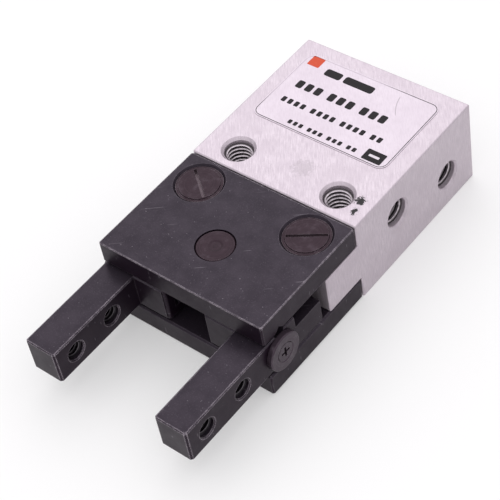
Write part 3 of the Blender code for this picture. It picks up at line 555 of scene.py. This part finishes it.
def add_threads():
    """Real helical threads in the mounting holes, the air ports and the jaws' holes."""
    # Root and crest colours: painted shade in the roots, painted highlight on the crests.
    pale = ((0.045, 0.037, 0.042, 1), (0.74, 0.67, 0.72, 1))
    dark = ((0.015, 0.012, 0.016, 1), (0.21, 0.19, 0.21, 1))
    mounts = [(way * MOUNT_HOLE_X, 0) for way in SIDES.values()]
    mount_metal = thread_metal("mount_thread_metal", *pale, (0, 1), mounts, 1.5 * MM)
    port_metal = thread_metal("port_thread_metal", *pale, (1, 2), PORTS, 1.5 * MM)
    jaw_holes = [(y, JAW_HOLE_Z) for y in JAW_HOLES_Y]
    jaw_metal = thread_metal("jaw_thread_metal", *dark, (1, 2), jaw_holes, 1.0 * MM)
    for side, way in SIDES.items():
        work = bmesh.new()
        place = hole_place("Z", (way * MOUNT_HOLE_X, 0))
        thread_ridge(work, place, BODY_LOW.z + 0.5 * MM, BODY_HIGH.z - 0.5 * MM, 1.5 * MM, 0.5 * MM)
        piece_from(f"mounting_thread_{side}", work, mount_metal, "housing")
        work = bmesh.new()
        for centre in jaw_holes:
            ends = [way * (JAW_FACES_X[0] + 0.34 * MM), way * (JAW_FACES_X[1] - 0.34 * MM)]
            thread_ridge(work, hole_place("X", centre), min(ends), max(ends), 1.0 * MM, 0.4 * MM)
        piece_from(f"jaw_threads_{side}", work, jaw_metal, f"finger_{side}")
    work = bmesh.new()
    for centre in PORTS:
        ends = (BODY_HIGH.x - PORT_DEPTH + 0.3 * MM, BODY_HIGH.x - 0.5 * MM)
        thread_ridge(work, hole_place("X", centre), *ends, 1.5 * MM, 0.5 * MM)
    piece_from("port_threads", work, port_metal, "housing")


def add_spring(material):
    """The return spring with flattened end coils."""
    low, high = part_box("return_spring")
    wire = 0.2 * MM
    radius = (high.x - low.x) / 2 - wire
    active, dead, sides, per_turn = 4.6, 0.7, 10, 30
    turns = active + 2 * dead
    steps = int(turns * per_turn)
    length = high.y - low.y - 2 * wire
    dead_rise = dead * 2 * wire * 1.05
    sections = []
    for step in range(steps + 1):
        turn = turns * step / steps
        rise = min(turn, dead) / dead * dead_rise
        rise += max(0.0, min(turn - dead, active)) / active * (length - 2 * dead_rise)
        rise += max(0.0, turn - dead - active) / dead * dead_rise
        angle = 2 * math.pi * turn
        outward = Vector((math.cos(angle), 0, math.sin(angle)))
        centre = Vector((0, low.y + wire + rise, (low.z + high.z) / 2)) + outward * radius
        section = []
        for side in range(sides):
            around = 2 * math.pi * side / sides
            section.append(centre + wire * (outward * math.cos(around) + Vector((0, math.sin(around), 0))))
        sections.append(section)
    work = bmesh.new()
    swept(work, sections)
    piece = piece_from("return_spring_coil", work, material, "housing")
    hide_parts("return_spring")
    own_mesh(piece)


def rounded_outline(low, high, radius, steps=5):
    """Points around a rectangle with round corners."""
    corners = (
        (high[0] - radius, high[1] - radius, 0.0),
        (low[0] + radius, high[1] - radius, 0.5 * math.pi),
        (low[0] + radius, low[1] + radius, math.pi),
        (high[0] - radius, low[1] + radius, 1.5 * math.pi),
    )
    points = []
    for x, y, start in corners:
        for step in range(steps + 1):
            angle = start + 0.5 * math.pi * step / steps
            points.append((x + radius * math.cos(angle), y + radius * math.sin(angle)))
    return points


def add_print_patch(work, outline, bottom, top):
    """One printed patch as a thin closed plate."""
    lower = [work.verts.new((x, y, bottom)) for x, y in outline]
    upper = [work.verts.new((x, y, top)) for x, y in outline]
    work.faces.new(lower)
    work.faces.new(upper)
    for i in range(len(outline)):
        j = (i + 1) % len(outline)
        work.faces.new((lower[i], lower[j], upper[j], upper[i]))


def add_print_frame(work, outer, inner, bottom, top):
    """A thin closed band between two outlines with the same number of points."""
    rings = []
    for outline, level in ((outer, bottom), (outer, top), (inner, top), (inner, bottom)):
        rings.append([work.verts.new((x, y, level)) for x, y in outline])
    count = len(outer)
    for first, second in zip(rings, rings[1:] + rings[:1]):
        for i in range(count):
            j = (i + 1) % count
            work.faces.new((first[i], first[j], second[j], second[i]))


def mark_row(work, start, middle, mark, words, gap, levels):
    """Groups of plain block marks as one printed line; mark is the block's width and height."""
    width, height = mark
    corner = min(width, height) / 4
    x = start
    for count in words:
        for _ in range(count):
            outline = rounded_outline((x, middle - height / 2), (x + width, middle + height / 2), corner, 3)
            add_print_patch(work, outline, *levels)
            x += width + gap
        x += gap * 1.6


def add_label_print(dark_ink, red_ink, pale_ink, fine_ink_and_shadow):
    """Generic print: an accent square, rows of plain marks, a dark tab and a fine outline."""
    surface = LABEL_HIGH.z
    levels = (surface - 0.01 * MM, surface + 0.008 * MM)
    left, rear = LABEL_LOW.x, LABEL_HIGH.y
    work = bmesh.new()
    square = (left + 0.60 * MM, rear - 1.55 * MM)
    outline = rounded_outline(square, (square[0] + 1.45 * MM, square[1] + 1.4 * MM), 0.1 * MM, 3)
    add_print_patch(work, outline, *levels)
    piece_from("label_accent_square", work, red_ink, "housing")

    work = bmesh.new()
    rows = (
        (-5.3, 1.55, (2.0, 1.0), (1,), 0.3),
        (-2.9, 1.55, (3.6, 1.0), (1,), 0.3),
        (-6.8, 4.4, (0.78, 1.10), (3, 3, 3), 0.36),
        (-6.8, 6.95, (0.50, 0.72), (4, 4, 4, 2), 0.30),
        (-4.2, 9.3, (0.42, 0.55), (3, 3, 3, 2), 0.25),
    )
    for start, below, mark, words, gap in rows:
        mark = (mark[0] * MM, mark[1] * MM)
        mark_row(work, start * MM, rear - below * MM, mark, words, gap * MM, levels)
    tab_low = (5.05 * MM, LABEL_LOW.y + 0.38 * MM)
    tab_high = (7.25 * MM, LABEL_LOW.y + 1.85 * MM)
    add_print_patch(work, rounded_outline(tab_low, tab_high, 0.12 * MM, 3), *levels)
    piece_from("label_marks", work, dark_ink, "housing")

    work = bmesh.new()
    inner_low = (left + 0.1 * MM, LABEL_LOW.y + 0.1 * MM)
    inner_high = (LABEL_HIGH.x - 0.1 * MM, rear - 0.1 * MM)
    hair = 0.08 * MM
    outer = rounded_outline(inner_low, inner_high, 0.9 * MM)
    inner = rounded_outline(
        (inner_low[0] + hair, inner_low[1] + hair), (inner_high[0] - hair, inner_high[1] - hair), 0.82 * MM
    )
    add_print_frame(work, outer, inner, *levels)
    piece_from("label_outline", work, fine_ink_and_shadow, "housing")

    work = bmesh.new()
    raised = (levels[1] - 0.004 * MM, levels[1] + 0.004 * MM)
    middle = (tab_low[1] + tab_high[1]) / 2
    mark_row(work, tab_low[0] + 0.5 * MM, middle, (1.2 * MM, 0.3 * MM), (1,), 0.2 * MM, raised)
    piece_from("label_tab_marks", work, pale_ink, "housing")


# ---------------------------------------------------------------- the CAD nodes


def soften(node, width, angle=35):
    """Merges the mesh's split corners and rounds its edges slightly, by modifiers only."""
    obj = NODES[node]
    weld = obj.modifiers.new("weld", "WELD")
    weld.merge_threshold = 0.0005 * MM
    bevel = obj.modifiers.new("edges", "BEVEL")
    bevel.width = width
    bevel.segments = 2
    bevel.limit_method = "ANGLE"
    bevel.angle_limit = math.radians(angle)
    bevel.harden_normals = True
    bevel.miter_outer = "MITER_ARC"


def dress(node, material):
    NODES[node].data.materials.clear()
    NODES[node].data.materials.append(material)


def dress_nodes():
    """Gives every CAD node its procedural material, and the main parts slightly rounded edges."""
    aluminium = anodised_aluminium()
    steel = dark_steel()
    bright = ground_steel()
    wire = spring_wire()
    rubber = moulded_rubber()
    brass = turned_brass()
    foil = label_foil()
    by_slot = {
        "anodised_aluminium": aluminium,
        "dark_steel": steel,
        "screw_steel": steel,
        "bright_steel": bright,
        "spring_steel": wire,
        "seal_rubber": rubber,
        "brass": brass,
        "label_foil": foil,
    }
    for row in frame["record"]["subparts"]:
        dress(row["node"], by_slot[row["material_slot"]])
    brown = ((0.019, 0.008, 0.014, 1), (0.031, 0.014, 0.023, 1), (0.052, 0.034, 0.046, 1))
    grey = ((0.039, 0.026, 0.038, 1), (0.062, 0.044, 0.060, 1), (0.095, 0.076, 0.093, 1))
    for node in NODES:
        low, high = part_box(node)
        centre = (low + high) / 2
        if node.startswith("plate_screw") or node == "lever_shaft":
            dress(node, turned_steel(f"turned_{node}", 2, centre, *brown))
        elif node.startswith(("roller_stopper", "stopper_screw")):
            dress(node, turned_steel(f"turned_{node}", 0, centre, *grey))
    for node in ("body", "upper_guide_plate", "lower_guide_plate", "finger_right", "finger_left"):
        soften(node, 0.05 * MM)
    for node in ("roller_stopper_right", "roller_stopper_left", "head_cap", "crosshead"):
        soften(node, 0.04 * MM)
    return wire


# ---------------------------------------------------------------- studio


def add_floor():
    """A wide pale floor with a faint, slow change of tone."""
    work = bmesh.new()
    bmesh.ops.create_grid(work, x_segments=8, y_segments=8, size=0.9)
    mesh = bpy.data.meshes.new("floor")
    work.to_mesh(mesh)
    work.free()
    material, tree, shader = new_material("pale_floor", specular=0.2)
    tone = noise(tree, millimetres(tree), 0.02, 2.0)
    colour = mix(tree, tone, (0.57, 0.57, 0.57, 1), (0.59, 0.59, 0.59, 1))
    tree.links.new(colour, shader.inputs["Base Color"])
    shader.inputs["Emission Color"].default_value = (1, 1, 1, 1)
    shader.inputs["Emission Strength"].default_value = FLOOR_GLOW
    shader.inputs["Roughness"].default_value = 0.8
    mesh.materials.append(material)
    floor = bpy.data.objects.new("floor", mesh)
    floor.location = (0, 0, min(0.0, BODY_LOW.z) - 0.01 * MM)
    bpy.context.scene.collection.objects.link(floor)


def add_area_light(name, place, target, size, power, colour):
    data = bpy.data.lights.new(name, "AREA")
    data.shape = "DISK"
    data.size = size
    data.energy = power
    data.color = colour
    light = bpy.data.objects.new(name, data)
    light.location = place
    light.rotation_euler = (Vector(target) - Vector(place)).to_track_quat("-Z", "Y").to_euler()
    bpy.context.scene.collection.objects.link(light)


def add_studio():
    """Bright even surroundings with a large soft light overhead and one behind."""
    world = bpy.data.worlds.new("studio")
    world.use_nodes = True
    tree = world.node_tree
    direction = tree.nodes.new("ShaderNodeTexCoord")
    height = axes_of(tree, direction.outputs["Generated"])[2]
    sky = ramp(tree, height, -0.05, 0.85, HORIZON_LIGHT, ZENITH_LIGHT)
    background = tree.nodes["Background"]
    background.inputs["Color"].default_value = (1.0, 0.985, 1.0, 1)
    tree.links.new(sky, background.inputs["Strength"])
    bpy.context.scene.world = world
    middle = (0, -4 * MM, 5 * MM)
    add_area_light("rear_left", (-0.30, 0.34, 0.42), middle, 0.5, REAR_POWER, (1.0, 0.99, 1.0))
    add_floor()


def add_camera():
    data = bpy.data.cameras.new("camera")
    data.sensor_width = 36
    data.lens = 115.98
    data.shift_x = 0.0382
    data.shift_y = -0.0630
    data.clip_start = 0.01
    camera = bpy.data.objects.new("camera", data)
    right = Vector((0.7693, 0.6223, -0.1445))
    up = Vector((-0.3814, 0.6288, 0.6776))
    back = right.cross(up).normalized()
    turn = Matrix((right, up, back)).transposed().to_4x4()
    camera.matrix_world = Matrix.Translation((0.07754, -0.07903, 0.12024)) @ turn
    bpy.context.scene.collection.objects.link(camera)
    bpy.context.scene.camera = camera


def main():
    wire = dress_nodes()
    add_threads()
    add_spring(wire)
    dark_ink = printing_ink("dark_ink", (0.009, 0.007, 0.009, 1), (0.022, 0.018, 0.022, 1))
    red_ink = printing_ink("red_ink", (0.60, 0.075, 0.032, 1), (0.64, 0.11, 0.06, 1))
    pale_ink = printing_ink("pale_ink", (0.72, 0.66, 0.72, 1), (0.60, 0.54, 0.60, 1))
    add_label_print(dark_ink, red_ink, pale_ink, outline_ink_and_shadow())
    add_studio()
    add_camera()
    bpy.context.scene.view_settings.view_transform = "Standard"


main()
